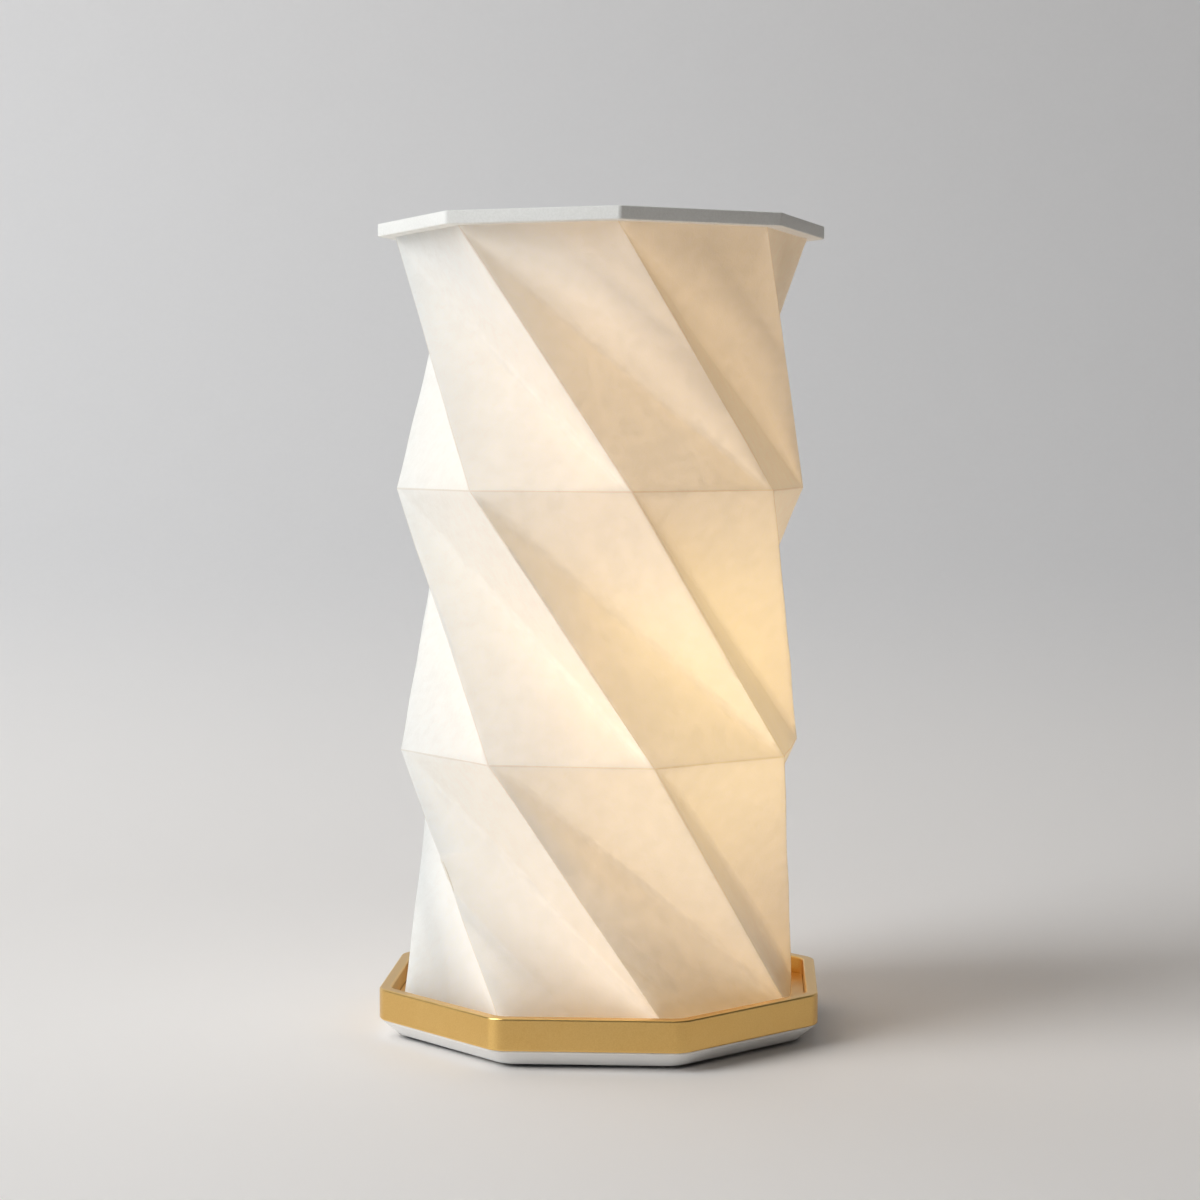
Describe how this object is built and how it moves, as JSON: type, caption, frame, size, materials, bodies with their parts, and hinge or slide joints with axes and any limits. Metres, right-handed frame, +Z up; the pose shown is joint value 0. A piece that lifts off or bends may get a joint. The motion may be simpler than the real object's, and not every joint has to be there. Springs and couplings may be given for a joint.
{
  "type": "folded paper table lamp",
  "caption": "Table lamp: an octagonal column of twisted, creased paper under a flat octagonal top plate, standing in a low gold-rimmed tray base with a screw-in bulb inside.",
  "frame": {"origin": "on the table, under the centre of the octagonal base", "axes": "+Z up; -Y to the front, +Y to the back where the cable outlet is; the base has a flat facing each of +X, -X, +Y and -Y"},
  "size_m": [0.1654, 0.1654, 0.3],
  "materials": {
    "paper": "matte",
    "card": "matte",
    "board": "matte",
    "gold": "satin",
    "white_base": "satin",
    "cover": "matte",
    "steel": "satin",
    "screws": "satin",
    "rubber": "matte",
    "terminal": "matte",
    "brass": "satin",
    "lead_brown": "satin",
    "lead_blue": "satin",
    "holder": "satin",
    "ceramic": "gloss",
    "nickel": "satin",
    "solder": "satin",
    "insulator": "gloss",
    "bulb_plastic": "gloss",
    "circuit": "satin",
    "led_board": "matte",
    "led": "gloss",
    "opal": "satin"
  },
  "bodies": {
    "base": {"base_body": "white_base", "trim_ring": "gold", "deck_plate": "gold", "bottom_cover": "cover", "rubber_feet": "rubber", "cover_screws": "screws", "ballast_plate": "steel", "terminal_block": "terminal", "terminal_tubes": "brass", "terminal_screws": "screws", "cable_grommet": "rubber", "lead_live": "lead_brown", "lead_neutral": "lead_blue", "stem_tube": "brass", "stem_nut": "steel", "stem_collar": "gold", "holder_cap": "holder", "holder_shell": "holder", "holder_core": "ceramic", "holder_terminals": "screws", "screw_sleeve": "brass", "centre_contact": "brass"},
    "bulb_core": {"bulb_contact": "solder", "bulb_insulator": "insulator"},
    "bulb": {"bulb_cap": "nickel", "bulb_housing": "bulb_plastic", "bulb_driver": "circuit", "bulb_board": "led_board", "bulb_leds": "led", "bulb_globe": "opal"},
    "shade": {"paper_shade": "paper", "bottom_frame": "card", "top_frame": "card", "top_plate": "board"}
  },
  "joints": [
    {"name": "bulb_rise", "type": "slide", "parent": "base", "child": "bulb_core", "axis": [0, 0, 1], "range_m": [0, 0.02361]},
    {"name": "bulb_turn", "type": "hinge", "parent": "bulb_core", "child": "bulb", "pos_m": [0, 0, 0.063], "axis": [0, 0, 1], "range_deg": [0, 2340]},
    {"name": "shade_lift", "type": "slide", "parent": "base", "child": "shade", "axis": [0, 0, 1], "range_m": [0, 0.19]}
  ],
  "couplings": [
    {"joint": "bulb_rise", "follows": "bulb_turn", "m_per_rad": 0.00057751}
  ]
}
